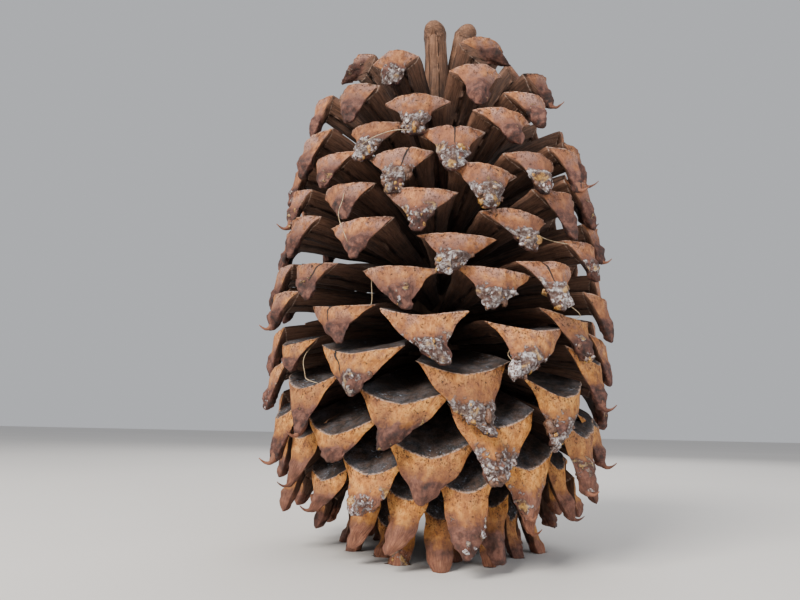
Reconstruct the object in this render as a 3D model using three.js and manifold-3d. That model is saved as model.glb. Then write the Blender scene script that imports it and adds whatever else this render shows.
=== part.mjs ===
// A large open pine cone, standing upright on the claws of its lowest scales.
// The whole cone grew as one piece of wood. A tapered axis carries the scales on a golden-angle spiral.
// Each scale is a wedge that widens outwards. It ends in a three-cornered face that runs down to a claw.
// Lengths are in millimetres and angles in degrees. +Z is up, and the cone stands on the plane Z = 0.

import * as THREE from "three";
import Module from "manifold-3d";
import { mergeVertices } from "three/addons/utils/BufferGeometryUtils.js";

// Numbering of the scales, upwards along the spiral from the one at the middle of the front
const LOWEST = -84;
const HIGHEST = 93;
const FRONT_ANGLE = -96.3; // where scale 0 stands around the axis
const TURN = 137.58; // from each scale to the next

// Driving dimensions along the cone, as [scale number, value] pairs
const ROOT_HEIGHT = [
  [-84, 43.5], [-65, 47.5], [-45, 53.5], [-20, 66.5], [10, 87.5], [65, 130.5], [85, 149.5], [93, 163.5],
];
const AXIS_RADIUS = [[-84, 9], [-65, 10.5], [-45, 12], [10, 12.5], [40, 11.5], [65, 10], [85, 7.5], [93, 4]];
const RISE = [[-84, -64], [-65, -41], [-45, -31], [-20, -15], [10, 2], [65, 25.5], [86, 40], [89, 80]];
const LENGTH = [[-84, 37], [-65, 44], [-45, 50], [-20, 51], [10, 50], [65, 48.5], [86, 48.5], [88, 38], [93, 34]];
const HALF_WIDTH = [
  [-84, 4.5], [-65, 6], [-45, 10], [-34, 13.7], [-24, 15], [0, 14.2], [12, 12.7], [34, 11.9],
  [65, 11.2], [86, 8.5], [89, 4.6],
];
// Width halfway along, as a share of the rim's
const WAIST = [[-84, 0.65], [-20, 0.56], [50, 0.58], [86, 0.85], [89, 1]];
// Rise of the rim's middle above its corners
const RIM_ARCH = [[-60, -2.2], [-45, -2.5], [-34, -4.2], [-13, -3.4], [0, -2.5], [10, -0.5]];
const FACE_HEIGHT = [[-84, 14.5], [-66, 18.5], [-60, 12.5], [-45, 14], [65, 15], [86, 13], [89, 6]];
const FACE_LEAN = [[-60, -75], [-25, -83], [86, -82], [89, -15]]; // slope of the end face, from rim to claw
const CLAW_HALF_WIDTH = [[-84, 3.4], [-45, 3.8], [-20, 3], [20, 2.7], [60, 3.8], [86, 3.5], [89, 3]];

// The scales that face the front: length of the claw, its swing to the right and the lift of the rim,
// then where needed how much further out the rim reaches, and its own turn around the axis in degrees
const FRONT_SCALES = {
  "-71": [9, 1, 0, -4], "-68": [18.5, 0, 0], "-66": [10, 2, 0], "-65": [7, 0, 0, -4], "-63": [12.5, -2, 0],
  "-60": [17, 1, 0], "-58": [7, 2, 2, -3], "-57": [8, 0, 0, -3], "-55": [16, -5, 0], "-53": [9, 1, 1],
  "-52": [13, -4, 0, -3], "-50": [10, -4, 3], "-49": [12, 0, 0], "-47": [19, -1, 0], "-44": [17, 3, 0, -7],
  "-42": [12, -3, 0], "-39": [15, -2, 0], "-37": [16, -2, 6, -3], "-34": [13.5, -3, -1],
  "-31": [18, -3, 4, 3], "-29": [8, 0, 0], "-26": [17, -1, 0], "-24": [15, 2, 0],
  "-21": [13.5, -6, 1, 0, 3], "-18": [15, -8, 1], "-16": [15, 3, 0], "-13": [18, 8, 0], "-8": [13, 1, 0],
  "-5": [15, -9, 4], "-3": [9, 8, -2], 0: [15, 8, 1], 3: [13, 2, -1], 5: [12, 5, -2, 0, 3],
  8: [13, -4, 5], 13: [14, 4, -1, 0, 3], 16: [16, 0, 0], 18: [13, 5, -2], 21: [13, -6, 0], 24: [13, 1, 1],
  26: [13, 1, 0], 29: [13, 3, 0], 34: [14.5, 0, 0], 39: [13, 4, 0, 0, 4], 42: [15, 0, 0],
  47: [16, -1, 0, 0, 4], 50: [14, 2, 0], 52: [12, 2, 0, 0, 4], 55: [16, 0, 0], 60: [13, -4, -2, 0, 5],
  63: [12, 3, 0], 68: [15, 1, -2.5], 71: [12, 1, 0, 0, -4], 73: [15, 1, -1.5, 0, 4], 76: [16, -1, -1, 0, 3],
  79: [12, 3, 3, 0, -8], 81: [14, 1, -1], 84: [10, 9, 2, 0, -12], 86: [8, -9, 3, -4],
  89: [6, 0, 0, 10, -10], 92: [6, 0, 0, 10, 0],
};

// The shape of one scale
const ARCH = 0.03; // rise of its middle above the line from root to rim, per length
const ROOT_SUNK = 5; // how far the root runs into the axis
const ROOT_HALF_WIDTH = 3.4;
const ROOT_KEEL = 4.5; // depth of the keel at the root
const MIDDLE_KEEL = 7.5; // and halfway along
const CORNER_SETBACK = 0.45; // the corners of the rim stand behind its middle, per half width
const DISH = 1.5; // hollow of the upper side, halfway along
const RIM_KEEL = 7; // depth of the keel at its outer end
const KEEL_BEHIND = 4; // how far that end stays behind the end face

// The woody axis and its stalk
const AXIS_SIDES = 8;
const STALK_RADIUS = 6.5;
const STALK_END = 27.5;
const AXIS_TOP = 173.5;

const radians = THREE.MathUtils.degToRad;

// The value at a scale number, along the straight lines between the given pairs and level beyond them.
function along(pairs, number) {
  if (number <= pairs[0][0]) return pairs[0][1];
  if (number >= pairs.at(-1)[0]) return pairs.at(-1)[1];
  const next = pairs.findIndex((pair) => pair[0] >= number);
  const [from, low] = pairs[next - 1];
  const [to, high] = pairs[next];
  return low + ((high - low) * (number - from)) / (to - from);
}

// A fixed scramble of a scale's number, from -1 to 1, so that no two scales are quite alike.
function chance(number, kind) {
  const mixed = Math.sin(12.9898 * number + 78.233 * kind) * 43758.5453;
  return 2 * (mixed - Math.floor(mixed)) - 1;
}

// The sizes of one scale, partly by its place and partly by chance.
function scaleSizes(number) {
  const seen = FRONT_SCALES[number];
  const faceHeight = along(FACE_HEIGHT, number) * (1 + 0.12 * chance(number, 1));
  const claw = seen ?? [faceHeight, 3 * chance(number, 2), 0];
  return {
    rise: radians(along(RISE, number) + (seen ? 0 : 4 * chance(number, 11))),
    length: along(LENGTH, number) * (1 + 0.02 * chance(number, 4)) + (claw[3] ?? 0),
    halfWidth: along(HALF_WIDTH, number) * (1 + 0.05 * chance(number, 5)),
    waist: along(WAIST, number),
    rimArch: along(RIM_ARCH, number),
    lean: radians(along(FACE_LEAN, number)),
    faceHeight: claw[0],
    swing: claw[1],
    lift: claw[2],
    clawHalfWidth: along(CLAW_HALF_WIDTH, number) * (1 + 0.15 * chance(number, 6)),
    turn: TURN * number + (claw[4] ?? 1.2 * chance(number, 7)),
  };
}

// The rings of a scale in its own frame: x across, y outwards from the root, z up.
// Each ring runs left edge, three points over the top, right edge, keel. Points may fall together.
function scaleRings(sizes) {
  const { rise, length, halfWidth, waist, rimArch, faceHeight, lean, swing, lift, clawHalfWidth } = sizes;
  // A point above or below the arched centre line of the scale.
  const onLine = (x, out, above) => {
    const share = out / length;
    const up = above + 4 * ARCH * length * share * (1 - share) + lift * Math.max(0, share);
    return [x, out * Math.cos(rise) - up * Math.sin(rise), out * Math.sin(rise) + up * Math.cos(rise)];
  };
  const bladeRing = (out, width, middle, setback, arch, keelOut, keel) => [
    onLine(-width, out - setback, 0),
    onLine(-0.5 * width, out - 0.25 * setback, middle + 0.75 * arch),
    onLine(0, out, middle + arch),
    onLine(0.5 * width, out - 0.25 * setback, middle + 0.75 * arch),
    onLine(width, out - setback, 0),
    onLine(0, keelOut, -keel),
  ];
  // The keel ends behind the end face, so it stops sooner on a scale that rises over its own face.
  const fold = lean - rise;
  const keelEnd = length - Math.max(4.5, (KEEL_BEHIND - RIM_KEEL * Math.cos(fold)) / -Math.sin(fold));
  const rings = [
    bladeRing(-ROOT_SUNK, ROOT_HALF_WIDTH, 0, 0, 0, -ROOT_SUNK, ROOT_KEEL),
    bladeRing(0.5 * length, waist * halfWidth, -DISH, 0, 0, 0.5 * length, MIDDLE_KEEL),
    bladeRing(length, halfWidth, 0, CORNER_SETBACK * halfWidth, rimArch, keelEnd, RIM_KEEL),
  ];
  rings[0][1] = rings[0][2] = rings[0][0];
  rings[0][3] = rings[0][4];
  rings[1][1] = rings[1][3] = rings[1][2];
  // The end face leans outwards from the rim down to the claw.
  const [, rimOut, rimUp] = rings[2][2];
  const faceRing = (share, width, ridge, thick) => {
    const middle = -swing * share * share; // local x runs to the left, seen from outside
    const place = (x, front) => [
      middle + x,
      rimOut + faceHeight * share * Math.cos(lean) - front * Math.sin(lean),
      rimUp + faceHeight * share * Math.sin(lean) + front * Math.cos(lean),
    ];
    const front = place(0, ridge);
    return [place(-width, -0.3 * thick), front, front, front, place(width, -0.3 * thick), place(0, -thick)];
  };
  rings.push(faceRing(0.42, 0.35 * halfWidth + 0.65 * clawHalfWidth, 0.6, 5));
  rings.push(faceRing(0.86, 0.8 * clawHalfWidth, 0.8, 3.6));
  rings[3][5] = rings[2][5].map((value, k) => (value + rings[4][5][k]) / 2);
  const tip = faceRing(1, 0, 0, 0)[1];
  return { rings, tip };
}

// One closed surface over the rings, shut at the first one and drawn to a point beyond the last.
function closedSurface(rings, tip) {
  const sides = rings[0].length;
  const geometry = new THREE.BufferGeometry();
  geometry.setAttribute("position", new THREE.Float32BufferAttribute([...rings, tip].flat(2), 3));
  const triangles = [];
  rings.forEach((ring, k) => {
    for (let side = 0; side < sides; side++) {
      const here = k * sides + side;
      const beside = k * sides + ((side + 1) % sides);
      if (k + 1 < rings.length)
        triangles.push([here, beside, here + sides], [beside, beside + sides, here + sides]);
      else triangles.push([here, beside, rings.length * sides]);
    }
  });
  for (let side = 1; side + 1 < sides; side++) triangles.push([0, side + 1, side]);
  geometry.setIndex(triangles.flat());
  return geometry;
}

function scaleGeometry(number) {
  const sizes = scaleSizes(number);
  const { rings, tip } = scaleRings(sizes);
  const geometry = closedSurface(rings, tip);
  geometry.translate(0, along(AXIS_RADIUS, number), 0);
  // Local y is outwards, so the quarter turn back lines it up with the scale's own direction.
  geometry.rotateZ(radians(FRONT_ANGLE + sizes.turn) - Math.PI / 2);
  geometry.translate(0, 0, along(ROOT_HEIGHT, number));
  return geometry;
}

// The axis with the stub of its stalk, as one turned spindle.
function axisGeometry() {
  const profile = [[0, STALK_END], [STALK_RADIUS, STALK_END], [STALK_RADIUS, ROOT_HEIGHT[0][1] - 8]];
  for (const number of [LOWEST, -45, 25, 65, 85, HIGHEST])
    profile.push([along(AXIS_RADIUS, number), along(ROOT_HEIGHT, number)]);
  profile.push([0, AXIS_TOP]);
  const points = profile.map(([radius, height]) => new THREE.Vector2(radius, height));
  const geometry = new THREE.LatheGeometry(points, AXIS_SIDES);
  geometry.rotateX(Math.PI / 2);
  return geometry;
}

// Joining the wood into one solid
const wasm = await Module();
wasm.setup();

function solidOf(geometry) {
  const bare = geometry.clone();
  bare.deleteAttribute("normal");
  bare.deleteAttribute("uv");
  const merged = mergeVertices(bare, 1e-4);
  const corners = merged.index.array;
  const kept = [];
  for (let k = 0; k < corners.length; k += 3) {
    const [a, b, c] = [corners[k], corners[k + 1], corners[k + 2]];
    if (a !== b && b !== c && c !== a) kept.push(a, b, c);
  }
  const vertProperties = new Float32Array(merged.attributes.position.array);
  return new wasm.Manifold(new wasm.Mesh({ numProp: 3, vertProperties, triVerts: new Uint32Array(kept) }));
}

function geometryOf(solid) {
  const mesh = solid.getMesh();
  const geometry = new THREE.BufferGeometry();
  geometry.setAttribute("position", new THREE.Float32BufferAttribute(mesh.vertProperties, 3));
  geometry.setIndex(new THREE.BufferAttribute(mesh.triVerts, 1));
  geometry.computeVertexNormals();
  return geometry;
}

let cone = solidOf(axisGeometry());
for (let number = LOWEST; number <= HIGHEST; number++) cone = cone.add(solidOf(scaleGeometry(number)));

// The lowest claws are worn flat where the cone stands on them.
const ground = new THREE.BoxGeometry(400, 400, 100).translate(0, 0, -50);
cone = cone.subtract(solidOf(ground));

const wood = new THREE.MeshStandardMaterial({ color: 0x9a6b45, roughness: 0.8, metalness: 0 });
const coneMesh = new THREE.Mesh(geometryOf(cone), wood);
coneMesh.name = "pine_cone";

const part = new THREE.Group();
part.add(coneMesh);
export default part;
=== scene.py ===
import math

import bpy
import numpy as np
from mathutils import Matrix


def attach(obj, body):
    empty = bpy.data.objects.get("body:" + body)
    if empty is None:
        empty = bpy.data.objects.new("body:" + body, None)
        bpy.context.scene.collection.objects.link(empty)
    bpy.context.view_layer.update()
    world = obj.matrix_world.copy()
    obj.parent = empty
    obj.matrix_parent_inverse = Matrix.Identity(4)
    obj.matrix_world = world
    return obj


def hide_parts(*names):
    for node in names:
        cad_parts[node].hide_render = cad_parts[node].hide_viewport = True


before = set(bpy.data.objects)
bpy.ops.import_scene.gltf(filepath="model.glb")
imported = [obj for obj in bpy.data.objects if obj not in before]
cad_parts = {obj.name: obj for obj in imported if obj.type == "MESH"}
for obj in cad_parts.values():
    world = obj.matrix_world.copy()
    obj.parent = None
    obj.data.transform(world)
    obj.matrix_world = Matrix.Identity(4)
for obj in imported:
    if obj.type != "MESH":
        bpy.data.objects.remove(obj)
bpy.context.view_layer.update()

# The axis and the stalk
# The core of the cone is a tapered rod of dense wood, with the broken stub of the stalk below.
# It grew with the scales as one piece; between their roots only its dark, fibrous bark shows.

ROOT_HEIGHT = [
    [-84, 43.5], [-65, 47.5], [-45, 53.5], [-20, 66.5], [10, 87.5], [65, 130.5], [85, 149.5], [93, 163.5],
]
AXIS_RADIUS = [[-84, 9], [-65, 10.5], [-45, 12], [10, 12.5], [40, 11.5], [65, 10], [85, 7.5], [93, 4]]
STALK_RADIUS = 6.5
STALK_END = 27.5
AXIS_TOP = 173.5
BARK_SQUEEZE = 0.18
MM = 0.001


def along(pairs, numbers):
    """The value at each scale number, on the straight lines between the given pairs."""
    pairs = np.array(pairs, float)
    return np.interp(numbers, pairs[:, 0], pairs[:, 1])


def waves(points, size, seed, octaves=3):
    """Smooth hills from about -1 to 1: a sum of sine waves of the given size in random directions,
    each octave half as long and half as high as the last."""
    rng = np.random.default_rng(seed)
    total = np.zeros(points.shape[:-1])
    usual_peak = 3.2
    for octave in range(octaves):
        for _ in range(4):
            direction = rng.normal(size=3)
            direction *= 2 * math.pi * 2**octave / size / np.linalg.norm(direction)
            total += np.sin(points @ direction + rng.uniform(0, 2 * math.pi)) / 2**octave
    return total / usual_peak


def mesh_piece(name, points, face_sets, fields, material):
    """One mesh from rows of points and from sets of faces, quads or triangles, given by their corners' rows.
    Each named field holds one number per point."""
    mesh = bpy.data.meshes.new(name)
    mesh.vertices.add(len(points))
    mesh.vertices.foreach_set("co", (points * MM).astype(np.float32).ravel())
    corners = np.concatenate([faces.ravel() for faces in face_sets])
    sides = np.concatenate([np.full(len(faces), faces.shape[1]) for faces in face_sets])
    mesh.loops.add(len(corners))
    mesh.loops.foreach_set("vertex_index", corners.astype(np.int32))
    mesh.polygons.add(len(sides))
    mesh.polygons.foreach_set("loop_start", (np.cumsum(sides) - sides).astype(np.int32))
    mesh.update(calc_edges=True)
    mesh.validate()
    mesh.polygons.foreach_set("use_smooth", np.ones(len(mesh.polygons), dtype=bool))
    for label, values in fields.items():
        layer = mesh.attributes.new(label, "FLOAT", "POINT")
        layer.data.foreach_set("value", np.asarray(values, np.float32).ravel())
    mesh.materials.append(material)
    piece = bpy.data.objects.new(name, mesh)
    bpy.context.scene.collection.objects.link(piece)
    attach(piece, "root")
    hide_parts("pine_cone")
    return piece


def closed_bodies(rings):
    """Closed bodies from rings of points, bodies by rings by points around: quads join the rings, and
    a fan of triangles about the middle of the first and of the last ring shuts each end."""
    bodies, stations, sides, _ = rings.shape
    count = stations * sides
    ends = rings[:, [0, -1]].mean(2)
    points = np.concatenate([rings.reshape(bodies, count, 3), ends], 1)
    first = np.arange(bodies)[:, None, None] * (count + 2)
    index = first + np.arange(count).reshape(stations, sides)
    side = np.roll(index, -1, 2)
    quads = np.stack([index[:, :-1], side[:, :-1], side[:, 1:], index[:, 1:]], -1).reshape(-1, 4)
    low = np.broadcast_to(first[:, 0] + count, (bodies, sides))
    start = np.stack([side[:, 0], index[:, 0], low], -1).reshape(-1, 3)
    end = np.stack([index[:, -1], side[:, -1], low + 1], -1).reshape(-1, 3)
    return points.reshape(-1, 3), [quads, start, end]


def link(tree, start, end):
    """Joins an output socket to an input socket."""
    tree.links.new(start, end)


def ramp(value, *stops):
    """A colour ramp or a grey ramp through (position, colour or number) stops."""
    tree = value.id_data
    made = tree.nodes.new("ShaderNodeValToRGB")
    bar = made.color_ramp
    while len(bar.elements) < len(stops):
        bar.elements.new(1.0)
    for element, (position, colour) in zip(bar.elements, stops):
        element.position = position
        element.color = (*colour, 1) if isinstance(colour, tuple) else (colour, colour, colour, 1)
    tree.links.new(value, made.inputs[0])
    return made.outputs[0]


def mix(tree, share, first, second, blend="MIX"):
    """Mixes two colours; share, first and second are sockets, numbers or colours."""
    made = tree.nodes.new("ShaderNodeMix")
    made.data_type = "RGBA"
    made.blend_type = blend
    share_slot, first_slot, second_slot, colour_out = 0, 6, 7, 2
    for slot, value in ((share_slot, share), (first_slot, first), (second_slot, second)):
        if isinstance(value, (int, float)):
            made.inputs[slot].default_value = value
        elif isinstance(value, tuple):
            made.inputs[slot].default_value = (*value, 1)
        else:
            tree.links.new(value, made.inputs[slot])
    return made.outputs[colour_out]


def noise(tree, vector, scale, detail=4.0, rough=0.55):
    """Cloudy noise, in lumps of about the vector's unit divided by the scale."""
    made = tree.nodes.new("ShaderNodeTexNoise")
    made.inputs["Scale"].default_value = scale
    made.inputs["Detail"].default_value = detail
    made.inputs["Roughness"].default_value = rough
    tree.links.new(vector, made.inputs["Vector"])
    return made.outputs["Fac"]


def new_material(name):
    """A material, its nodes, its shader and the object coordinates."""
    material = bpy.data.materials.new(name)
    material.use_nodes = True
    tree = material.node_tree
    shader = tree.nodes["Principled BSDF"]
    place = tree.nodes.new("ShaderNodeTexCoord").outputs["Object"]
    return material, tree, shader, place


def raised(tree, shader, height, strength, depth):
    """Gives the finish a relief, in which a height value of 1 stands for the depth, in metres."""
    bump = tree.nodes.new("ShaderNodeBump")
    bump.inputs["Strength"].default_value = strength
    bump.inputs["Distance"].default_value = depth
    link(tree, height, bump.inputs["Height"])
    link(tree, bump.outputs[0], shader.inputs["Normal"])


def effect(name, inputs, outputs):
    """An effect that several finishes share: a group of nodes with named inputs and outputs."""
    group = bpy.data.node_groups.new(name, "ShaderNodeTree")
    for label, kind in inputs.items():
        group.interface.new_socket(label, in_out="INPUT", socket_type=kind)
    for label, kind in outputs.items():
        group.interface.new_socket(label, in_out="OUTPUT", socket_type=kind)
    return group, group.nodes.new("NodeGroupInput").outputs, group.nodes.new("NodeGroupOutput").inputs


def use(tree, group, vector, **values):
    """Places a shared effect in a material, at a vector and with its own values."""
    placed = tree.nodes.new("ShaderNodeGroup")
    placed.node_tree = group
    tree.links.new(vector, placed.inputs["Vector"])
    for label, value in values.items():
        placed.inputs[label].default_value = value
    return placed.outputs


VECTOR, FLOAT = "NodeSocketVector", "NodeSocketFloat"
# Wood grain: noise that shows as streaks where the vector is squeezed along the grain
wood_grain, given, result = effect(
    "wood_grain", {"Vector": VECTOR, "Scale": FLOAT, "Roughness": FLOAT}, {"Streaks": FLOAT}
)
streak = wood_grain.nodes.new("ShaderNodeTexNoise")
streak.inputs["Detail"].default_value = 5.0
for label in ("Vector", "Scale", "Roughness"):
    link(wood_grain, given[label], streak.inputs[label])
link(wood_grain, streak.outputs["Fac"], result["Streaks"])

bark, tree, shader, place = new_material("axis_bark")
fibres = tree.nodes.new("ShaderNodeMapping")
fibres.inputs["Scale"].default_value = (1.0, 1.0, BARK_SQUEEZE)
link(tree, place, fibres.inputs["Vector"])
grain = use(tree, wood_grain, fibres.outputs[0], Scale=900.0, Roughness=0.6)["Streaks"]
blotch = noise(tree, place, 90.0, 3.0, 0.5)
colour = ramp(grain, (0.3, (0.020, 0.011, 0.007)), (0.7, (0.085, 0.042, 0.022)))
link(tree, mix(tree, blotch, colour, (0.045, 0.024, 0.014)), shader.inputs["Base Color"])
shader.inputs["Roughness"].default_value = 0.85
raised(tree, shader, grain, 0.6, 0.0006)

# A profile of radius and height, turned round the axis and ridged along it, the stalk's end broken rough
profile = [(0.01, STALK_END), (0.7 * STALK_RADIUS, STALK_END), (STALK_RADIUS, STALK_END + 0.8)]
profile += [(STALK_RADIUS * 0.97, STALK_END + 4), (STALK_RADIUS, STALK_END + 8)]
for number in (-84, -75, -65, -55, -45, -30, -15, 0, 10, 25, 40, 52, 65, 75, 85, 89, 93):
    profile.append((float(along(AXIS_RADIUS, number)), float(along(ROOT_HEIGHT, number))))
profile += [(3.0, AXIS_TOP - 5), (1.5, AXIS_TOP - 1), (0.01, AXIS_TOP)]
profile = np.array(profile)
steps = np.concatenate([np.linspace(k, k + 1, 4, endpoint=False) for k in range(len(profile) - 1)])
steps = np.append(steps, len(profile) - 1)
radius = np.interp(steps, np.arange(len(profile)), profile[:, 0])
height = np.interp(steps, np.arange(len(profile)), profile[:, 1])
turns = np.linspace(0, 2 * math.pi, 64, endpoint=False)
flutes = 0.955 + 0.02 * np.sin(13 * turns + 0.05 * height[:, None]) + 0.012 * np.sin(31 * turns)
ridged = radius[:, None] * flutes
points = np.stack([ridged * np.cos(turns), ridged * np.sin(turns), height[:, None] + 0 * turns], -1)
points[..., 2] += np.where(height < STALK_END + 1, 1, 0)[:, None] * 0.5 * waves(points, 4, 3)
axis_points, axis_faces = closed_bodies(points[None])
axis = mesh_piece("axis_and_stalk", axis_points, axis_faces, {}, bark)

# The scales
# Each scale is a woody wedge, narrow at the axis and wide at its rim, with a keel beneath.
# Its weathered end face runs down from two sharp corners to a thick claw. The scales grew on a golden-angle
# spiral, so each is given by its number, counted upwards from the one at the middle of the front.

LOWEST, HIGHEST = -84, 93
LAST_OPEN = 87
# Where scale 0 points, and the golden angle from each scale to the next, in degrees
FRONT_ANGLE = -96.3
TURN = 137.58
# Sizes by scale number, in millimetres and degrees, on straight lines between the pairs
RISE = [[-84, -64], [-65, -41], [-45, -31], [-20, -15], [10, 2], [65, 25.5], [86, 40], [89, 80]]
LENGTH = [[-84, 37], [-65, 44], [-45, 50], [-20, 51], [10, 50], [65, 48.5], [86, 48.5], [88, 38], [93, 34]]
HALF_WIDTH = [
    [-84, 4.5], [-65, 6], [-45, 10], [-34, 13.7], [-24, 15], [0, 14.2], [12, 12.7], [34, 11.9],
    [65, 11.2], [86, 8.5], [89, 4.6],
]
WAIST = [[-84, 0.65], [-20, 0.56], [50, 0.58], [86, 0.85], [89, 1]]
RIM_ARCH = [
    [-60, -2.2], [-45, -2.5], [-34, -4.2], [-13, -3.4], [0, -2.5], [10, -0.5], [45, -0.6],
    [58, -2.4], [72, -2.6], [80, -1], [89, 0],
]
FACE_HEIGHT = [[-84, 14.5], [-66, 18.5], [-60, 12.5], [-45, 14], [65, 15], [86, 13], [89, 6]]
FACE_LEAN = [[-60, -75], [-25, -83], [86, -82], [89, -15]]
CLAW_HALF_WIDTH = [[-84, 3.4], [-45, 3.8], [-20, 3], [20, 2.7], [60, 3.8], [86, 3.5], [89, 3]]
# For single scales: the face's height, the claw's swing to the right as seen from outside, the rim's lift,
# the extra length, and the scale's own turn in degrees
FRONT_SCALES = {
    -71: [9, 1, 0, -4], -68: [18.5, 0, 0], -66: [10, 2, 0], -65: [7, 0, 0, -4], -63: [12.5, -2, 0],
    -60: [17, 1, 0], -58: [7, 2, 2, -3], -57: [8, 0, 0, -3], -55: [16, -5, 0], -53: [9, 1, 1],
    -52: [13, -4, 0, -3], -50: [10, -4, 3], -49: [12, 0, 0], -47: [19, -1, 0], -44: [17, 3, 0, -7],
    -42: [12, -3, 0], -39: [15, -2, 0], -37: [16, -2, 6, -3], -34: [13.5, -3, -1],
    -31: [18, -3, 4, 3], -29: [8, 0, 0], -26: [17, -1, 0], -24: [15, 2, 0], -21: [13.5, -6, 1, 0, 3],
    -18: [15, -8, 1], -16: [15, 3, 0], -13: [18, 8, 0], -8: [13, 1, 0], -5: [15, -9, 4],
    -3: [9, 8, -2], 0: [15, 8, 1], 3: [13, 2, -1], 5: [12, 5, -2, 0, 3], 8: [13, -4, 5],
    13: [14, 4, -1, 0, 3], 16: [16, 0, 0], 18: [13, 5, -2], 21: [13, -6, 0], 24: [13, 1, 1], 26: [13, 1, 0],
    29: [13, 3, 0], 34: [14.5, 0, 0], 39: [13, 4, 0, 0, 4], 42: [15, 0, 0], 47: [16, -1, 0, 0, 4],
    50: [14, 2, 0], 52: [12, 2, 0, 0, 4], 55: [16, 0, 0], 60: [13, -4, -2, 0, 5], 63: [12, 3, 0],
    68: [15, 1, -2.5], 71: [12, 1, 0, 0, -4], 73: [15, 1, -1.5, 0, 4], 76: [16, -1, -1, 0, 3],
    79: [12, 3, 3, 0, -8], 81: [14, 1, -1], 84: [10, 9, 2, 0, -12], 86: [8, -9, 3, -4],
    89: [6, 0, 0, 10, -10], 92: [6, 0, 0, 10, 0],
}
# How much resin has dried on a claw, which claws keep their curved point, and where a rim has split
RESIN = {
    68: 1, 60: 1, 63: 0.2, 55: 0.95, 50: 0.7, 47: 0.8, 42: 1, 34: 0.55, 39: 0.25, 29: 0.9, 26: 0.15, 21: 1,
    16: 0.9, 13: 0.35, 8: 0.8, 24: 0.5, 0: 0.7, 5: 0.1, -5: 0.9, -8: 0.5, -13: 1, -18: 0.8, -26: 1,
    -31: 0.4, -42: 0.7, -34: 0.1, 81: 0.7, 76: 0.3, 84: 0.2, 71: 0.3, 73: 0.2, -21: 0.3, -47: 0.4,
    -60: 0.3, 52: 0.3, 18: 0.3, 3: 0.5, -29: 0.2,
}
HOOKS = (-50, -44, -37, -52, -31, -39, -24, -16, 44, 58, 79, 10, -10, -23, 32, -1, -14, 6, 53, 66)
CRACKS = {
    5: 0.1, 55: -0.05, 18: -0.6, -3: 0.1, 10: 0.3, 47: -0.3, -8: 0.5, 16: 0.4, 31: 0.0, 22: 0.2, -12: -0.3,
    70: 0.2, 37: -0.4,
}
NO_CRACK = 9.0
# The blade: its arch, as a share of its length, its root, its keel, which stops short of the rim, and its rim
ARCH = 0.03
USUAL_LENGTH = 45
ROOT_SUNK = 5
ROOT_HALF_WIDTH = 3.4
ROOT_KEEL = 4.5
MIDDLE_KEEL = 7.5
RIM_KEEL = 7
KEEL_BEHIND = 4
KEEL_SHORT = 4.5
DISH = 1.5
CORNER_SETBACK = 0.45
RIM_PEAK = 0.45
EDGE = 0.45
EDGE_CROWDING = 1.44
# The end face, the claw, which starts and whose back ends at shares of the way down, and the posts at the top
FACE_HOLLOW = 1.75
CLAW_STARTS = 0.40
CLAW_STEP = 0.9
HOOK_TAPER = 0.45
TIP_THICKNESS = 3.6
BACK_ENDS = 0.86
POST_DOME = 3.0
# The wear
WAVINESS = 0.26
CRUST_LUMPS = 0.62
CRUST_THICKNESS = 0.55
NICK_DEPTH = 0.4
SPLIT_DEPTH = 1.6
SPLIT_WIDTH = 0.07


def chance(numbers, kind):
    """A fixed scramble of each scale's number, from -1 to 1: the decimals of a very large sine."""
    mixed = np.sin(12.9898 * numbers + 78.233 * kind) * 43758.5453
    return 2 * (mixed - np.floor(mixed)) - 1


def scale_sizes(numbers):
    """The sizes of the scales with these numbers, one array for each size."""
    face = along(FACE_HEIGHT, numbers) * (1 + 0.12 * chance(numbers, 1))
    swing = 3 * chance(numbers, 2)
    lift = np.zeros(len(numbers))
    rise = along(RISE, numbers) + 4 * chance(numbers, 11)
    reach = np.zeros(len(numbers))
    turn = 1.2 * chance(numbers, 7)
    for k, number in enumerate(numbers):
        claw = FRONT_SCALES.get(int(number), [])
        if claw:
            rise[k] = along(RISE, number)
        for sizes, value in zip((face, swing, lift, reach, turn), claw):
            sizes[k] = value
    return {
        "rise": np.radians(rise),
        "length": along(LENGTH, numbers) * (1 + 0.02 * chance(numbers, 4)) + reach,
        "half": along(HALF_WIDTH, numbers) * (1 + 0.05 * chance(numbers, 5)),
        "waist": along(WAIST, numbers),
        "rim_arch": along(RIM_ARCH, numbers),
        "face": face,
        "lean": np.radians(along(FACE_LEAN, numbers)),
        "swing": -swing,  # local x runs to the left, seen from outside
        "lift": lift,
        "turn": np.radians(FRONT_ANGLE + TURN * numbers + turn) - math.pi / 2,
        "claw": along(CLAW_HALF_WIDTH, numbers) * (1 + 0.15 * chance(numbers, 6)),
        "post": (numbers > LAST_OPEN).astype(float),
        "resin": np.array([RESIN.get(int(k), max(0.0, 0.45 * float(chance(k, 9)))) for k in numbers]),
        "hook": np.array([float(int(k) in HOOKS) for k in numbers]),
        "crack": np.array([CRACKS.get(int(k), NO_CRACK) for k in numbers]),
    }


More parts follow.
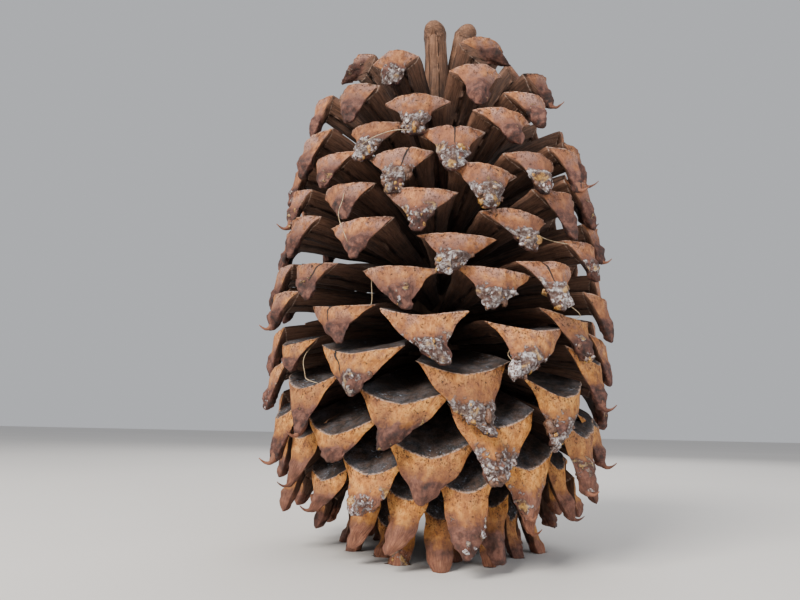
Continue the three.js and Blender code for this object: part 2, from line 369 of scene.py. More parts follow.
def scale_points(numbers, over=31, under=14, blade=18, front=24):
    """The surface of each scale, as stations from root to claw tip by points around.
    The upper side and the end face are one sheet folded at the rim, x = -1 to 1 from edge to edge.
    The blade's half width is a parabola through the root's, the waist's and the rim's, and its middle line is
    an arch. The face narrows by a power of the way down to the claw, which ends in a blunt round tip.
    The under side is ruled from the edges to a keel line, which ends behind the claw.
    Gives the points, and for each point how far along it is (0 root, 1 rim, 2 claw tip), x, its share of the
    way from the edge down to the keel, and how far it is from the split, in x."""
    s = {k: v[:, None, None] for k, v in scale_sizes(numbers).items()}
    n = numbers[:, None, None]
    length, half, claw = s["length"] - POST_DOME * s["post"], s["half"], s["claw"]
    near_rim, past_rim = [0.94, 0.965, 0.98, 0.99, 0.996, 1.0], [0.01, 0.025, 0.05, 0.09]
    near_tip = [0.945, 0.965, 0.98, 0.99]
    along_blade = np.linspace(0.02, 0.9, blade - len(near_rim) - 1)
    down_face = np.linspace(0.13, 0.92, front - len(past_rim) - len(near_tip))
    t = np.concatenate([[-ROOT_SUNK / USUAL_LENGTH], along_blade, near_rim])
    c = np.concatenate([past_rim, down_face, near_tip])
    x = np.sin(np.linspace(-1, 1, over) * EDGE_CROWDING) / math.sin(EDGE_CROWDING)
    tb, cb, xb = t[None, :, None], c[None, :, None], x[None, None, :]
    hollow = 1 - xb**2

    # The blade, from the root to the rim
    tp = np.clip(tb, 0, 1)
    slope = 4 * s["waist"] * half - half - 3 * ROOT_HALF_WIDTH
    width = ROOT_HALF_WIDTH + slope * tp + (half - ROOT_HALF_WIDTH - slope) * tp**2
    out = length * tb - CORNER_SETBACK * half * tp**3 * xb**2
    centre = 4 * ARCH * length * tb * (1 - tb) + s["lift"] * tp
    curl = 0.9 * chance(n, 11) * xb + 0.8 * chance(n, 12) * xb**2
    curl = curl + 0.45 * chance(n, 13) * np.sin(3 * xb + 3 * chance(n, 14))
    arch = (1 - RIM_PEAK) * hollow + RIM_PEAK * (1 - np.abs(xb))
    above = centre - DISH * 4 * tp * (1 - tp) * hollow + s["rim_arch"] * arch * tp**3
    above = above + curl * tp**3 * np.clip(half / 12, 0, 1)
    cos, sin = np.cos(s["rise"]), np.sin(s["rise"])
    blade_top = np.stack(
        np.broadcast_arrays(xb * width, out * cos - above * sin, out * sin + above * cos), -1
    )
    fold = s["lean"] - s["rise"]
    keel_end = length - np.maximum(KEEL_SHORT, (KEEL_BEHIND - RIM_KEEL * np.cos(fold)) / -np.sin(fold))
    keel_out = length * np.minimum(tb, 0.5) + (keel_end - 0.5 * length) * np.clip(tb - 0.5, 0, 1) * 2
    keel_up = centre - np.interp(tp, [0, 0.5, 1], [ROOT_KEEL, MIDDLE_KEEL, RIM_KEEL])
    blade_keel = np.stack(
        np.broadcast_arrays(0 * keel_out, keel_out * cos - keel_up * sin, keel_out * sin + keel_up * cos), -1
    )

    # The end face and the claw, from the rim to the tip
    rim = blade_top[:, -1:, :, :]
    rim_middle = rim[:, :, over // 2 : over // 2 + 1, :]
    blunt = np.sqrt(np.clip(1 - (np.clip(cb - 0.5, 0, 1) / 0.5) ** 2.3, 0, 1))
    taper = 1 - HOOK_TAPER * s["hook"] * np.clip((cb - 0.35) / 0.65, 0, 1)
    knot = 0.97 + 0.12 * np.sin(cb * 7 + 3 * chance(n, 15)) + 0.08 * np.sin(cb * 17 + 3 * chance(n, 17))
    sharp = FACE_HOLLOW + 0.8 * np.clip((n - 15) / 40, 0, 1)
    face_width = claw * knot * blunt * taper + (half - claw) * np.clip(1 - cb, 0, 1) ** sharp
    face_width = face_width + s["post"] * (half * np.sqrt(1 - cb**2) - face_width)
    fall, push = np.cos(s["lean"]), np.sin(s["lean"])
    # The claw stands up from the face with a step, and is highest along its middle.
    rise_at = CLAW_STARTS + 0.06 * chance(n, 18)
    claw_reach = np.clip(claw * 1.15 / face_width, 0, 1)
    on_claw = np.clip((cb - rise_at) / 0.10, 0, 1) * np.clip((1.05 - np.abs(xb) / claw_reach) / 0.3, 0, 1)
    ridge = CLAW_STEP * np.exp(-((xb / 0.35) ** 2)) * (0.3 + 0.7 * cb)
    ridge = ridge + (CLAW_STEP + 0.5 * chance(n, 16)) * on_claw
    ridge = ridge * (1 - s["post"])
    back = (0.2 + 1.5 * np.clip(cb / 0.3, 0, 1)) * xb**2
    forward = ridge * hollow**0.7 * (1 - cb**6) - back * (1 - cb**4)
    dome = POST_DOME * np.sqrt(np.clip(1 - (2 * cb - 1) ** 2, 0, 1)) * np.sqrt(np.clip(hollow, 0, 1))
    forward = forward + s["post"] * (dome - forward)
    down = s["face"] * cb
    offset = (rim - rim_middle) * (1 - cb[..., None]) ** 4
    face_top = np.stack(
        np.broadcast_arrays(
            s["swing"] * cb**2 + xb * face_width,
            rim_middle[..., 1] + down * fall - forward * push + offset[..., 1],
            rim_middle[..., 2] + down * push + forward * fall + offset[..., 2],
        ),
        -1,
    )
    thick = TIP_THICKNESS * np.clip((1 - cb) / 0.14, 0, 1) ** 0.5
    at = np.maximum(cb, BACK_ENDS)
    end_back = np.stack(
        np.broadcast_arrays(
            s["swing"] * at**2,
            rim_middle[..., 1] + s["face"] * at * fall + thick * push,
            rim_middle[..., 2] + s["face"] * at * push - thick * fall,
        ),
        -1,
    )
    rim_keel = blade_keel[:, -1:]
    face_keel = rim_keel + (end_back - rim_keel) * np.clip(cb / BACK_ENDS, 0, 1)[..., None]
    top = np.concatenate([blade_top, face_top], 1)
    keel = np.concatenate([blade_keel, face_keel], 1)

    # The under side, from the edge at x = 1 round the keel to that at x = -1: hollow beside a rounded keel
    y = np.linspace(1, -1, under + 2)[1:-1][None, None, :, None]
    share = 1 - np.abs(y)
    share = np.clip(share + 0.10 * np.sin(math.pi * share) * np.sign(0.55 - share), 0, 1)
    edge = np.where(y > 0, top[:, :, -1:, :], top[:, :, :1, :])
    depth = np.linalg.norm(keel - edge, axis=-1, keepdims=True)
    edge = edge - np.array([0, 0, EDGE]) * np.clip(depth / 2, 0, 1)
    below = edge + (keel - edge) * share
    inwards = top[:, :, over // 2 : over // 2 + 1, :] - keel
    below = below + 0.1 * np.exp(-((y / 0.16) ** 2)) * inwards
    below = below - 0.17 * s["post"][..., None] * np.sin(math.pi * np.clip(share, 0, 1)) * inwards
    ring = np.concatenate([top, below], 2)

    shape = ring.shape[:3]
    run = np.broadcast_to(np.concatenate([tp.ravel(), 1 + c])[None, :, None], shape)
    across = np.broadcast_to(np.concatenate([x, y.ravel()])[None, None, :], shape)
    downward = np.broadcast_to(np.concatenate([np.zeros(over), share.ravel()])[None, None, :], shape)

    # Wear: the wood has warped in gentle waves, the rim is nicked and on some scales split, the claw lumpy.
    local = ring + (n * 1.7)[..., None] * np.array([31.0, 17.0, 23.0])
    wobble = WAVINESS * waves(local, 9, 1, 3) * np.clip(run * 1.5, 0, 1)
    claw_part = np.clip((run - 1.42) / 0.15, 0, 1) * np.clip((2.0 - run) / 0.05, 0, 1)
    lumps = (WAVINESS + CRUST_LUMPS * s["resin"]) * waves(local, 3.4, 2, 4) + CRUST_THICKNESS * s["resin"]
    lumps = lumps * (1 - 0.8 * s["post"])
    away = ring - ring.mean(2, keepdims=True)
    away /= np.linalg.norm(away, axis=-1, keepdims=True) + 1e-6
    ring = ring + away * (wobble + lumps * claw_part)[..., None]
    rim_near = np.exp(-(((run - 1.0) / 0.07) ** 2)) * (downward < 0.2) * (1 - s["post"])
    nicks = waves((across * half + 7 * n)[..., None] * np.array([1.0, 0, 0]), 3.2, 5, 4)
    crack = across - s["crack"]
    ring[..., 1] += (NICK_DEPTH * nicks - SPLIT_DEPTH * np.exp(-((crack / SPLIT_WIDTH) ** 2))) * rim_near
    return ring, run, across, downward, crack


def stand(points, numbers):
    """Points in the frames of their scales, x across, y outwards and z up, turned to their places round the
    axis, moved out by its radius and up to their roots. What would go below the ground lies flat on it."""
    angle = scale_sizes(numbers)["turn"].reshape(-1, *[1] * (points.ndim - 2))
    outwards = points[..., 1] + along(AXIS_RADIUS, numbers).reshape(angle.shape)
    placed = np.stack(
        [
            points[..., 0] * np.cos(angle) - outwards * np.sin(angle),
            points[..., 0] * np.sin(angle) + outwards * np.cos(angle),
            points[..., 2] + along(ROOT_HEIGHT, numbers).reshape(angle.shape),
        ],
        -1,
    )
    placed[..., 2] = np.maximum(placed[..., 2], 0.0)
    return placed


def with_ends(values):
    """A value per ring point, bodies by rings by points around, carried on to the two end points."""
    bodies = values.shape[0]
    ends = values[:, [0, -1]].mean(2)
    return np.concatenate([values.reshape(bodies, -1), ends], 1).ravel()


def scale_group(name, first, last, material):
    """The scales with the numbers from first to last, as one piece."""
    numbers = np.arange(first, last + 1).astype(float)
    ring, run, across, downward, crack = scale_points(numbers)
    points, faces = closed_bodies(stand(ring, numbers))
    resin = scale_sizes(numbers)["resin"]
    fields = {
        "run": run,
        "across": across,
        "under": downward,
        "crack": crack,
        "seed": np.broadcast_to((chance(numbers, 21) * 0.5 + 0.5)[:, None, None], run.shape),
        "level": np.broadcast_to(((numbers - LOWEST) / (HIGHEST - LOWEST))[:, None, None], run.shape),
        "resin": np.broadcast_to(resin[:, None, None], run.shape),
    }
    fields = {key: with_ends(values) for key, values in fields.items()}
    return mesh_piece(name, points, faces, fields, material)


def worked_out(operation, *values):
    """A Math node on the values, of which the first is a socket and the others are sockets or numbers."""
    tree = values[0].id_data
    made = tree.nodes.new("ShaderNodeMath")
    made.operation = operation
    for slot, value in zip(made.inputs, values):
        if isinstance(value, (int, float)):
            slot.default_value = value
        else:
            tree.links.new(value, slot)
    return made.outputs[0]


def plus(first, second):
    return worked_out("ADD", first, second)


def minus(first, second):
    return worked_out("SUBTRACT", first, second)


def times(first, second):
    return worked_out("MULTIPLY", first, second)


def scaled(value, by, added):
    """The value times one number, plus another."""
    return worked_out("MULTIPLY_ADD", value, by, added)


def field(tree, name):
    """The piece's own attribute of that name."""
    made = tree.nodes.new("ShaderNodeAttribute")
    made.attribute_name = name
    return made.outputs["Fac"]


COLOUR = "NodeSocketColor"
# Dried resin: grey white flakes over dark gum, or amber, and the height of the flakes
resin_flakes, given, result = effect(
    "resin_flakes", {"Vector": VECTOR, "Scale": FLOAT}, {"White": COLOUR, "Amber": COLOUR, "Height": FLOAT}
)
flake = noise(resin_flakes, given["Vector"], 1.0, 5.0, 0.68)
link(resin_flakes, given["Scale"], flake.node.inputs["Scale"])
white = ramp(
    flake, (0.38, (0.060, 0.028, 0.022)), (0.47, (0.17, 0.115, 0.105)),
    (0.54, (0.40, 0.36, 0.36)), (0.62, (0.72, 0.70, 0.70)),
)
link(resin_flakes, white, result["White"])
gum = ramp(flake, (0.38, (0.16, 0.055, 0.012)), (0.60, (0.55, 0.31, 0.08)))
link(resin_flakes, gum, result["Amber"])
link(resin_flakes, flake, result["Height"])

wood, tree, shader, place = new_material("weathered_scale_wood")
run, across, under, crack = (field(tree, name) for name in ("run", "across", "under", "crack"))
seed, level, resin = (field(tree, name) for name in ("seed", "level", "resin"))
# The grain runs along the scale: a point of it is across, along, and in another slice for each scale.
grain_at = tree.nodes.new("ShaderNodeCombineXYZ")
link(tree, across, grain_at.inputs[0])
link(tree, times(run, 0.22), grain_at.inputs[1])
link(tree, times(seed, 37.0), grain_at.inputs[2])
streaks = use(tree, wood_grain, grain_at.outputs[0], Scale=24.0, Roughness=0.65)["Streaks"]
fine = noise(tree, place, 1900.0, 4.0, 0.65)
speck = noise(tree, place, 1150.0, 3.0, 0.6)
mottle = noise(tree, place, 420.0, 6.0, 0.62)
patch = noise(tree, place, 190.0, 5.0, 0.6)
cloud = noise(tree, place, 60.0, 3.0, 0.55)

on_face = worked_out("GREATER_THAN", run, 1.0)
face_run = minus(run, 1.0)
is_under = worked_out("GREATER_THAN", under, 0.001)

# End face: tan, mottled, faintly streaked, greyer higher up; on the low scales it is brightened to gold,
# painted warm light bounced up from below
worn = plus(times(mottle, 0.65), times(streaks, 0.35))
tan = ramp(worn, (0.36, (0.095, 0.031, 0.012)), (0.48, (0.30, 0.102, 0.031)), (0.60, (0.52, 0.215, 0.078)))
# The gold is the tan brightened by painted warm bounce light.
bounce_lit_gold = ramp(worn, (0.36, (0.21, 0.064, 0.010)), (0.48, (0.53, 0.195, 0.028)), (0.60, (0.78, 0.36, 0.080)))
# How much painted warm bounce light each scale gets: full on the low scales, none higher up
low = ramp(plus(level, scaled(seed, 0.16, -0.08)), (0.34, 1.0), (0.60, 0.0))
face_colour = mix(tree, low, tan, bounce_lit_gold)
haze = times(ramp(patch, (0.46, 0.0), (0.60, 0.45)), ramp(level, (0.35, 0.15), (0.6, 1.0)))
face_colour = mix(tree, haze, face_colour, (0.44, 0.32, 0.31))
rusty = times(ramp(cloud, (0.45, 0.0), (0.62, 1.0)), 0.55)
face_colour = mix(tree, rusty, face_colour, (0.21, 0.075, 0.040))
# It darkens to a reddish purple brown on the way to the claw.
wander = plus(face_run, scaled(patch, 0.9, -0.45))
wander = plus(wander, scaled(streaks, 0.5, -0.25))
to_claw = ramp(wander, (0.20, 0.0), (0.50, 1.0))
face_colour = mix(tree, times(to_claw, 0.8), face_colour, (0.105, 0.036, 0.026))
# Dark specks gather below the rim.
dark_speck = ramp(plus(speck, times(face_run, 0.22)), (0.36, 1.0), (0.43, 0.0))
face_colour = mix(tree, times(dark_speck, 0.85), face_colour, (0.016, 0.009, 0.006))
dots = ramp(plus(fine, times(face_run, 0.16)), (0.42, 1.0), (0.47, 0.0))
dots = times(dots, ramp(patch, (0.42, 0.2), (0.56, 0.8)))
face_colour = mix(tree, dots, face_colour, (0.050, 0.020, 0.010))
ticks = times(ramp(streaks, (0.34, 1.0), (0.42, 0.0)), ramp(face_run, (0.02, 1.0), (0.22, 0.0)))
face_colour = mix(tree, times(ticks, 0.7), face_colour, (0.03, 0.015, 0.010))

# Claw: dark red brown wood, and on many a dried crust of resin, grey white with amber patches
claw_wood = ramp(
    mottle, (0.36, (0.022, 0.010, 0.008)), (0.5, (0.085, 0.030, 0.021)), (0.64, (0.20, 0.082, 0.055))
)
low_claw = ramp(
    streaks, (0.34, (0.075, 0.026, 0.018)), (0.5, (0.26, 0.095, 0.052)), (0.64, (0.42, 0.19, 0.10))
)
low_claw = mix(tree, ramp(cloud, (0.46, 0.0), (0.58, 0.9)), low_claw, claw_wood)
claw_wood = mix(tree, ramp(level, (0.18, 1.0), (0.34, 0.0)), claw_wood, low_claw)
claw_border = plus(face_run, scaled(mottle, 0.5, -0.25))
claw_border = plus(claw_border, scaled(patch, 0.6, -0.30))
on_claw = ramp(claw_border, (0.40, 0.0), (0.50, 1.0))
flakes = use(tree, resin_flakes, place, Scale=760.0)
crust = mix(tree, ramp(mottle, (0.44, 0.75), (0.54, 0.0)), flakes["White"], (0.10, 0.050, 0.034))
amber = ramp(patch, (0.60, 0.0), (0.66, 0.9))
crust = mix(tree, amber, crust, flakes["Amber"])
crust_edge = plus(patch, scaled(resin, 0.36, -0.22))
crusted = times(ramp(crust_edge, (0.50, 0.0), (0.56, 1.0)), on_claw)
face_colour = mix(tree, on_claw, face_colour, claw_wood)
face_colour = mix(tree, crusted, face_colour, crust)

# Upper side: nearly black velvety brown, with a grainy bluish grey that thickens towards the rim: partly
# dust, partly painted bluish skylight on the outer part, so the side stays darker, in painted shade, towards
# the root
dust_and_skylight_depth = plus(times(patch, 0.6), times(fine, 0.5))
dust_and_skylight_depth = plus(dust_and_skylight_depth, scaled(run, 0.16, -0.14))
# The bluish grey is partly dust and partly painted skylight, strongest towards the rim and weak towards the
# root.
dust_and_skylight = times(ramp(dust_and_skylight_depth, (0.52, 0.0), (0.68, 1.0)), ramp(run, (0.4, 0.1), (0.8, 1.0)))
upper = mix(tree, ramp(mottle, (0.40, 0.0), (0.60, 1.0)), (0.009, 0.006, 0.005), (0.060, 0.034, 0.024))
upper = mix(tree, times(dust_and_skylight, 0.5), upper, (0.125, 0.125, 0.145))
flecks = times(ramp(speck, (0.60, 0.0), (0.63, 1.0)), ramp(cloud, (0.54, 0.0), (0.60, 1.0)))
upper = mix(tree, times(flecks, 0.65), upper, (0.32, 0.38, 0.47))

# Under side: dark brown, with warmer wood towards the rim; it is also painted lighter towards the rim, the
# edges and on the higher scales, and darker, in painted shade, towards the root and the keel
# Painted shade: the under side darkens towards the root and the keel, where the scales shade each other;
# warmer wood near the rim.
rim_warmth_and_shade = times(ramp(run, (0.35, 0.0), (0.95, 1.0)), ramp(under, (0.0, 1.0), (0.9, 0.35)))
rim_warmth_and_shade = times(rim_warmth_and_shade, ramp(level, (0.35, 0.65), (0.75, 1.0)))
grainy = ramp(streaks, (0.38, 0.0), (0.62, 1.0))
lower = mix(tree, grainy, (0.010, 0.005, 0.003), (0.060, 0.027, 0.016))
lower = mix(tree, rim_warmth_and_shade, lower, mix(tree, grainy, (0.085, 0.037, 0.020), (0.22, 0.100, 0.055)))
lower = mix(tree, times(on_claw, on_face), lower, claw_wood)

body = mix(tree, is_under, mix(tree, on_face, upper, face_colour), lower)
# A thin pale line where the rim is worn, and painted shade, a near-black line, down each split
rim_at = plus(run, scaled(streaks, 0.03, -0.015))
pale = times(ramp(rim_at, (0.986, 0.0), (0.994, 1.0)), ramp(face_run, (0.006, 1.0), (0.020, 0.0)))
pale = times(pale, ramp(level, (0.965, 1.0), (0.970, 0.0)))
body = mix(tree, times(pale, ramp(speck, (0.44, 0.1), (0.54, 0.8))), body, (0.44, 0.31, 0.24))
# Painted shade: near black down the middle of each split, on the upper part of the face
from_crack = worked_out("ABSOLUTE", plus(crack, scaled(mottle, 0.1, -0.05)))
gap = ramp(from_crack, (0.025, 1.0), (0.045, 0.0))
split_shade = times(gap, ramp(face_run, (0.40, 1.0), (0.52, 0.0)))
body = mix(tree, times(split_shade, ramp(run, (0.75, 0.0), (0.85, 1.0))), body, (0.010, 0.006, 0.005))
# The innermost scales at the tip stay closed, as round posts of plain brown wood.
post_worn = plus(times(streaks, 0.6), times(patch, 0.4))
post_wood = ramp(
    post_worn, (0.38, (0.055, 0.024, 0.013)), (0.50, (0.17, 0.078, 0.040)), (0.62, (0.36, 0.18, 0.10))
)
post_part = times(ramp(level, (0.965, 0.0), (0.970, 1.0)), ramp(run, (0.3, 0.3), (0.7, 1.0)))
body = mix(tree, post_part, body, post_wood)
# Each scale is a little lighter or darker than the next, and redder where it is darker.
tone = scaled(seed, 0.34, 0.80)
tone_colour = tree.nodes.new("ShaderNodeCombineXYZ")
link(tree, tone, tone_colour.inputs[0])
link(tree, scaled(tone, 1.05, -0.05), tone_colour.inputs[1])
link(tree, scaled(tone, 1.1, -0.1), tone_colour.inputs[2])
link(tree, mix(tree, 1.0, body, tone_colour.outputs[0], "MULTIPLY"), shader.inputs["Base Color"])
dull = ramp(patch, (0.3, 0.62), (0.7, 0.88))
link(tree, mix(tree, crusted, dull, (0.34, 0.34, 0.34)), shader.inputs["Roughness"])
relief = plus(times(streaks, 0.35), times(fine, 0.35))
relief = plus(relief, times(mottle, 0.9))
relief = plus(relief, times(times(crusted, flakes["Height"]), 2.6))
relief = minus(relief, times(times(dark_speck, on_face), 0.4))
raised(tree, shader, relief, 0.85, 0.0009)

for name, first, last in (
    ("basal_scales", LOWEST, -49),
    ("lower_scales", -48, -13),
    ("middle_scales", -12, 23),
    ("upper_scales", 24, 59),
    ("tip_scales", 60, HIGHEST),
):
    group = scale_group(name, first, last, wood)

# Resin on the claws
# Resin that bled from the claws has dried to grains and drops, grey white or brown and a few amber.
# It sticks to the wood where it ran, so it has no slot of its own.

LEAST_RESIN = 0.3
SPOTS_FROM, SPOTS_TO = 1.47, 1.96
GRAIN_RADIUS, GRAIN_COUNT = 0.42, 700
DROP_RADIUS, DROP_COUNT = 1.0, 130


def claw_spots(count, seed):
    """Random points on the crusted claws, most on those with most resin, and the numbers of their scales."""
    rng = np.random.default_rng(seed)
    numbers = np.arange(LOWEST, HIGHEST + 1).astype(float)
    ring, run, across, downward, _ = scale_points(numbers)
    wet = scale_sizes(numbers)["resin"][:, None, None]
    weight = wet**2 * (wet > LEAST_RESIN) * (run > SPOTS_FROM) * (run < SPOTS_TO) * (downward < 0.45)
    weight = weight * (0.25 + (waves(ring + numbers[:, None, None, None] * 5.3, 4.5, 8, 2) > 0.1))
    chosen = rng.choice(weight.size, count, p=(weight / weight.sum()).ravel())
    which, station, side = np.unravel_index(chosen, weight.shape)
    inside = ring[which, station].mean(1)
    at = ring[which, station, side] + rng.normal(0, 0.22, (count, 3))
    return at + 0.12 * (inside - at), numbers[which]


def grains(count, seed, size):
    """Lumps of resin at claw spots: small spheres, each a grid of angle down by angle round, from a third of
    the given size to twice it, stretched along each axis and with every point moved in or out by chance."""
    rng = np.random.default_rng(seed)
    at, numbers = claw_spots(count, seed)
    rows, sides = 4, 7
    first_down = 0.35
    down = np.linspace(first_down, math.pi - first_down, rows)
    tall, turn = np.meshgrid(down, np.linspace(0, 2 * math.pi, sides, endpoint=False), indexing="ij")
    ball = np.stack([np.sin(tall) * np.cos(turn), np.sin(tall) * np.sin(turn), -np.cos(tall)], -1)
    radius = size * np.exp(rng.normal(0, 0.42, count)).clip(0.35, 2.0)
    stretch = rng.uniform(0.6, 1.4, (count, 1, 1, 3))
    uneven = rng.uniform(0.6, 1.3, (count, rows, sides, 1))
    rings = at[:, None, None] + radius[:, None, None, None] * stretch * uneven * ball
    points, faces = closed_bodies(stand(rings, numbers))
    tint = np.broadcast_to(rng.uniform(0, 1, (count, 1, 1)), rings.shape[:3])
    return points, faces, {"tint": with_ends(tint)}


resin_look, tree, shader, place = new_material("dried_resin")
tint = field(tree, "tint")
flakes = use(tree, resin_flakes, place, Scale=1300.0)
cloudy = flakes["Height"]
brown = ramp(cloudy, (0.36, (0.05, 0.022, 0.014)), (0.62, (0.20, 0.10, 0.06)))
resin_colour = mix(tree, ramp(tint, (0.84, 0.0), (0.88, 1.0)), flakes["White"], flakes["Amber"])
resin_colour = mix(tree, ramp(tint, (0.36, 1.0), (0.46, 0.0)), resin_colour, brown)
link(tree, resin_colour, shader.inputs["Base Color"])
link(tree, ramp(cloudy, (0.35, 0.22), (0.65, 0.5)), shader.inputs["Roughness"])
shader.inputs["Subsurface Weight"].default_value = 0.25
shader.inputs["Subsurface Radius"].default_value = (0.0015, 0.001, 0.0006)
raised(tree, shader, cloudy, 0.6, 0.0004)
mesh_piece("resin_grains", *grains(GRAIN_COUNT, 11, GRAIN_RADIUS), resin_look)
mesh_piece("resin_drops", *grains(DROP_COUNT, 12, DROP_RADIUS), resin_look)

# The hooks
# Some claws keep the slender curved point that wear has broken off the rest.
# It grew on the claw's tip, bends outwards and up, and is of the same wood.

HOOK_LENGTH = 6.0
HOOK_SUNK = 3.0
HOOK_BEND = 0.62
HOOK_RADIUS = 1.55
HOOK_THINS_BY = 1.40
HOOK_STATIONS = 16


def cords(paths, radii, sides=8):
    """Round cords along paths, cords by points by 3. At each point a circle of the given radius stands square
    to the path: its points are cos a of one way across and sin a of the other."""
    ahead = np.gradient(paths, axis=1)
    ahead /= np.linalg.norm(ahead, axis=-1, keepdims=True) + 1e-9
    across = np.cross(ahead, np.array([0.31, 0.22, 0.93]))
    across /= np.linalg.norm(across, axis=-1, keepdims=True) + 1e-9
    third = np.cross(ahead, across)
    turn = np.linspace(0, 2 * math.pi, sides, endpoint=False)[:, None]
    rings = across[:, :, None] * np.cos(turn) + third[:, :, None] * np.sin(turn)
    return paths[:, :, None] + radii[..., None, None] * rings


numbers = np.array(sorted(HOOKS), float)
ring = scale_points(numbers)[0]
tip = ring[:, -1].mean(1)
before = ring[:, -8].mean(1)
ahead = (tip - before) / np.linalg.norm(tip - before, axis=-1, keepdims=True)
part = np.linspace(0, 1, HOOK_STATIONS)
along_hook = part[None, :, None]
hook_length = (HOOK_LENGTH + 1.2 * chance(numbers, 31))[:, None, None]
curl = np.array([0.0, 1.0, 0.0]) + np.array([0, 0, 0.9]) * along_hook
onwards = hook_length * along_hook * ahead[:, None] * (1.25 - 0.45 * along_hook)
paths = tip[:, None] - HOOK_SUNK * ahead[:, None] + onwards
paths = paths + HOOK_BEND * hook_length * along_hook**2.4 * curl
radii = (HOOK_RADIUS - HOOK_THINS_BY * part**0.8)[None] * (1 + 0.12 * chance(numbers, 32))[:, None]
rings = cords(paths, radii)
rings = rings + 0.12 * waves(rings, 2.5, 9, 2)[..., None]
points, faces = closed_bodies(stand(rings, numbers))
# The wood's fields, as near the tip of a clean low claw
wood_fields = {"run": 1.9, "across": 0, "under": 0, "crack": NO_CRACK, "seed": 0.3, "level": 0.2, "resin": 0}
fields = {key: with_ends(np.full(rings.shape[:3], float(value))) for key, value in wood_fields.items()}
hooks = mesh_piece("claw_hooks", points, faces, fields, wood)

# The fibres
# A few thin strands of dry plant fibre have blown in among the scales.
# Each is caught on the scales at both ends and bends a little between them.

STRAND_RADIUS = 0.11
STRAND_BEND = 2.2
STRAND_KINK = 0.5
STRAND_STATIONS = 20

strand_look, tree, shader, place = new_material("dry_fibre")
grain = use(tree, wood_grain, place, Scale=600.0, Roughness=0.55)["Streaks"]
straw = ramp(grain, (0.35, (0.28, 0.19, 0.10)), (0.65, (0.58, 0.46, 0.30)))
link(tree, straw, shader.inputs["Base Color"])
shader.inputs["Roughness"].default_value = 0.7
rng = np.random.default_rng(5)
starts = np.array([
    [-34, -52, 118], [-26, -56, 92], [-12, -60, 134], [36, -46, 86],
    [30, -48, 108], [-44, -36, 70], [14, -60, 66.0],
])
ends = np.array([
    [-32, -56, 101], [-24, -58, 80], [-30, -50, 131], [44, -44, 83],
    [41, -42, 104], [-40, -46, 58], [24, -56, 62.0],
])
# Both ends of each strand move to the nearest point of a scale.
numbers = np.arange(-50, 70).astype(float)
caught_on = stand(scale_points(numbers, 11, 6, 12, 14)[0], numbers).reshape(-1, 3)
for spots in (starts, ends):
    nearest = np.linalg.norm(caught_on[None] - spots[:, None], axis=2).argmin(1)
    spots[:] = caught_on[nearest]
part = np.linspace(0, 1, STRAND_STATIONS)[None, :, None]
paths = starts[:, None] + (ends - starts)[:, None] * part
bend = rng.normal(0, 1, (len(starts), 1, 3)) * STRAND_BEND
kink = STRAND_KINK * rng.normal(0, 1, (len(starts), 1, 3))
paths = paths + bend * np.sin(math.pi * part) + kink * np.sin(3 * math.pi * part)
radii = np.full((len(starts), STRAND_STATIONS), STRAND_RADIUS)
points, faces = closed_bodies(cords(paths, radii, 6))
mesh_piece("dry_fibres", points, faces, {}, strand_look)

# The floor, the light and the camera
# The cone stands on a plain pale floor, in soft studio light: a warm key lamp at the upper left, a weak
# fill at the right and a weak lamp behind.

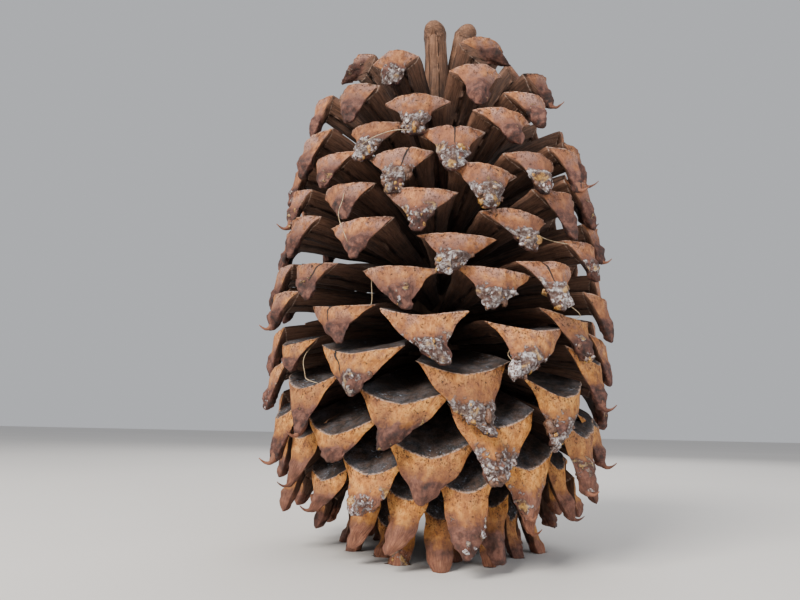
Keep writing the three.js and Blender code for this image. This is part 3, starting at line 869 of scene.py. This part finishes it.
FLOOR_HALF = 6
floor_mesh = bpy.data.meshes.new("floor")
corners = [(FLOOR_HALF * x, FLOOR_HALF * y, 0) for x, y in ((-1, -1), (1, -1), (1, 1), (-1, 1))]
floor_mesh.from_pydata(corners, [], [(0, 1, 2, 3)])
floor = bpy.data.objects.new("floor", floor_mesh)
bpy.context.scene.collection.objects.link(floor)
floor_material, tree, shader, place = new_material("pale_floor")
pale_grey = ramp(noise(tree, place, 3.0), (0.3, (0.62, 0.60, 0.58)), (0.7, (0.66, 0.64, 0.62)))
link(tree, pale_grey, shader.inputs["Base Color"])
shader.inputs["Roughness"].default_value = 0.9
floor_mesh.materials.append(floor_material)

world = bpy.data.worlds.new("studio")
world.use_nodes = True
world.node_tree.nodes["Background"].inputs["Color"].default_value = (0.86, 0.88, 0.92, 1)
world.node_tree.nodes["Background"].inputs["Strength"].default_value = 0.6
bpy.context.scene.world = world
for name, place, aim, power, size, tint in (
    ("key", (-0.55, -0.75, 0.75), (0, 0, 0.1), 23.0, 0.5, (1.0, 0.95, 0.88)),
    ("fill", (0.7, -0.6, 0.35), (0, 0, 0.1), 4.5, 0.8, (0.9, 0.95, 1.0)),
    ("back", (0.2, 0.8, 0.7), (0, 0, 0.15), 5.0, 0.7, (1.0, 0.98, 0.95)),
):
    lamp = bpy.data.lights.new(name, "AREA")
    lamp.energy, lamp.size, lamp.color = power, size, tint
    held = bpy.data.objects.new(name, lamp)
    toward = np.array(aim) - np.array(place)
    toward = toward / np.linalg.norm(toward)
    side = np.cross(toward, (0, 0, 1.0))
    side /= np.linalg.norm(side)
    top = np.cross(side, toward)
    rows = [[*row, p] for row, p in zip(np.stack([side, top, -toward], 1), place)]
    held.matrix_world = Matrix(rows + [[0, 0, 0, 1]])
    bpy.context.scene.collection.objects.link(held)

# The camera stands low, close to the cone, and looks up at it.
ROLL, PITCH = math.radians(-1.2), math.radians(10.8)
FOCAL_PIXELS, PICTURE_PIXELS, SENSOR_MM = 680, 800, 36
lens = bpy.data.cameras.new("camera")
lens.lens = FOCAL_PIXELS / PICTURE_PIXELS * SENSOR_MM
lens.clip_start = 0.01
camera = bpy.data.objects.new("camera", lens)
right = np.array([math.cos(ROLL), 0, -math.sin(ROLL)])
ahead = np.array([math.sin(PITCH) * math.sin(ROLL), math.cos(PITCH), math.sin(PITCH) * math.cos(ROLL)])
up = np.cross(right, ahead)
spot = (-0.0135, -0.261, 0.0422)
rows = [[*row, p] for row, p in zip(np.stack([right, up, -ahead], 1), spot)]
camera.matrix_world = Matrix(rows + [[0, 0, 0, 1]])
bpy.context.scene.collection.objects.link(camera)
bpy.context.scene.camera = camera
